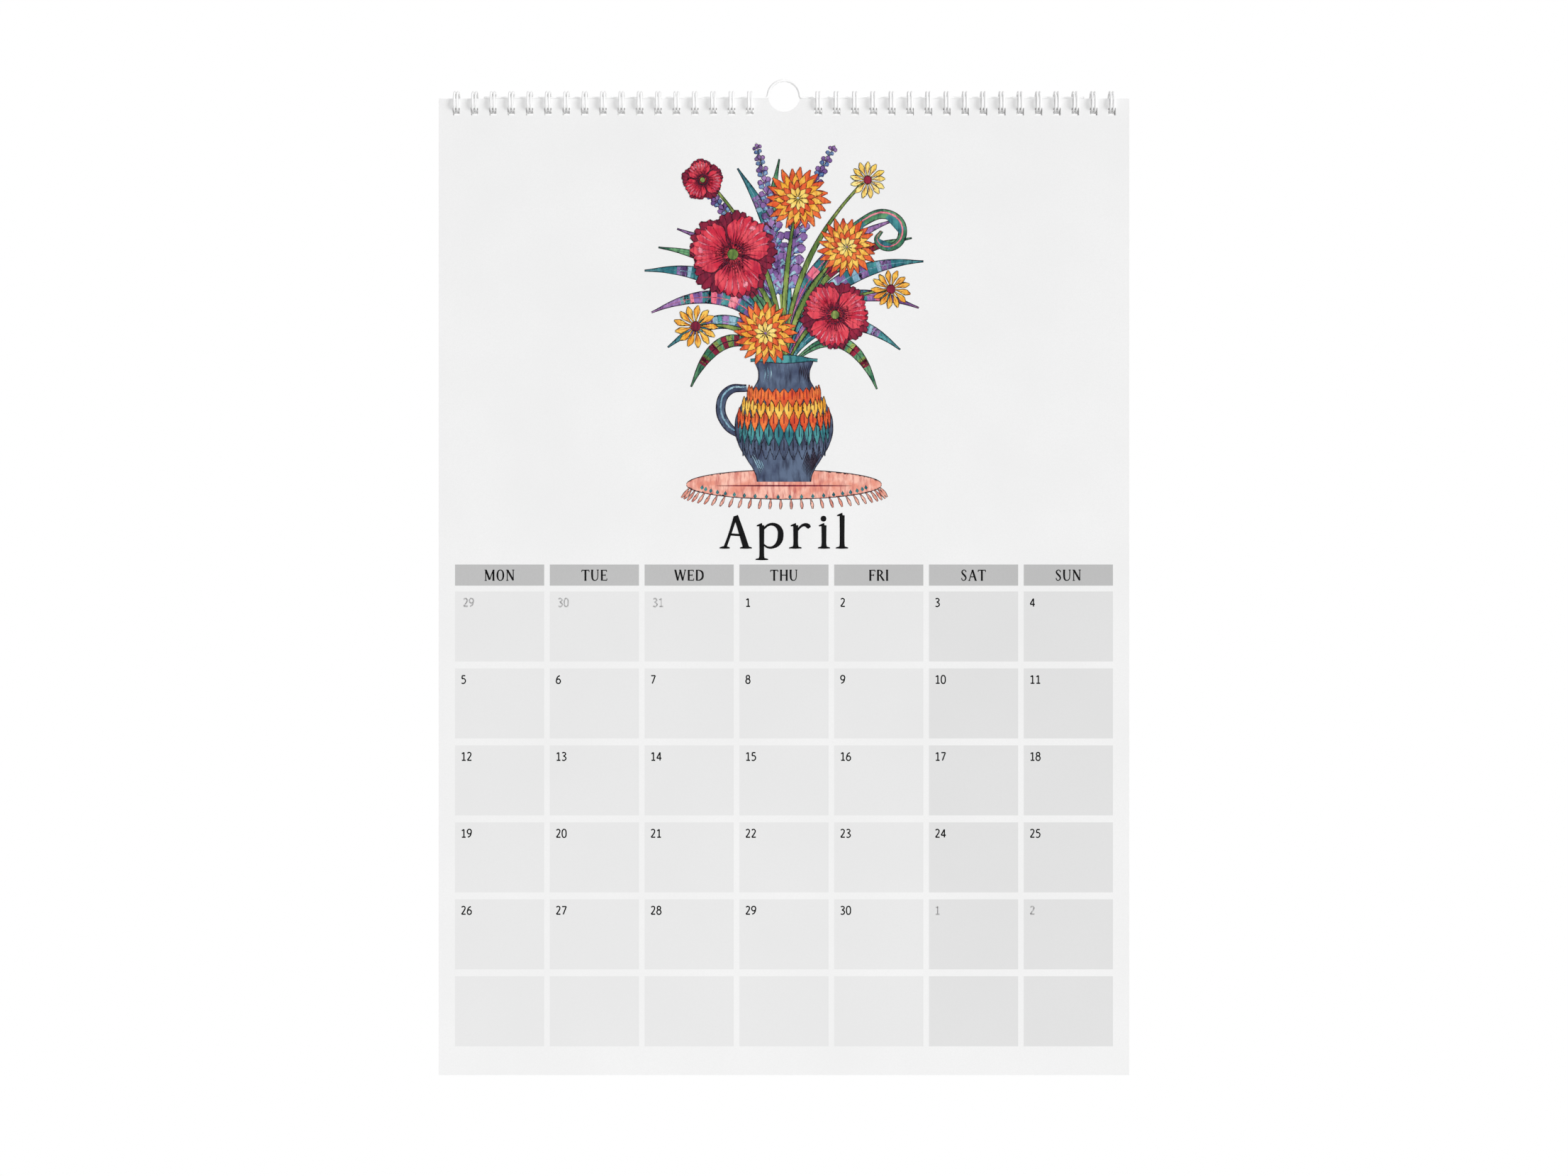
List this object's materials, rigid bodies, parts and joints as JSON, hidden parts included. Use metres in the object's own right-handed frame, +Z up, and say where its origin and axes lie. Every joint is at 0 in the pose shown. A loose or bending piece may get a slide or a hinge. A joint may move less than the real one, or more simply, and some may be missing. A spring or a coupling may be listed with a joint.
{
  "type": "wall calendar",
  "caption": "Wall calendar: a block of printed sheets and a back board on twin-loop wire, hung by a bent wire hanger with a raised eye over a half-moon notch.",
  "frame": {"origin": "the hanging eye: the inside top of the hanger's hump, where it rests on a nail", "axes": "+Z up, -Y out of the wall towards the viewer, +X to the viewer's right"},
  "size_m": [0.297, 0.0098, 0.429],
  "materials": {
    "white_wire": "white coated steel wire, satin gloss",
    "paper": "smooth uncoated white paper, printed on the front",
    "grey_board": "plain grey board"
  },
  "bodies": {
    "hanger": {"hanger_wire": "white_wire"},
    "binding": {"left_twin_loop_wire": "white_wire", "right_twin_loop_wire": "white_wire", "coming_leaves": "paper", "back_card": "grey_board", "turned_leaves": "paper"},
    "month_page": {"month_leaf": "paper"}
  },
  "joints": [
    {"name": "hanger_swivel", "type": "hinge", "parent": "hanger", "child": "binding", "pos_m": [0, 0, -0.00695], "axis": [1, 0, 0], "range_deg": [-90, 90]},
    {"name": "leaf_turn", "type": "hinge", "parent": "binding", "child": "month_page", "pos_m": [0, 0, -0.00883], "axis": [-1, 0, 0], "range_deg": [0, 180], "deforming": ["month_leaf"]}
  ]
}
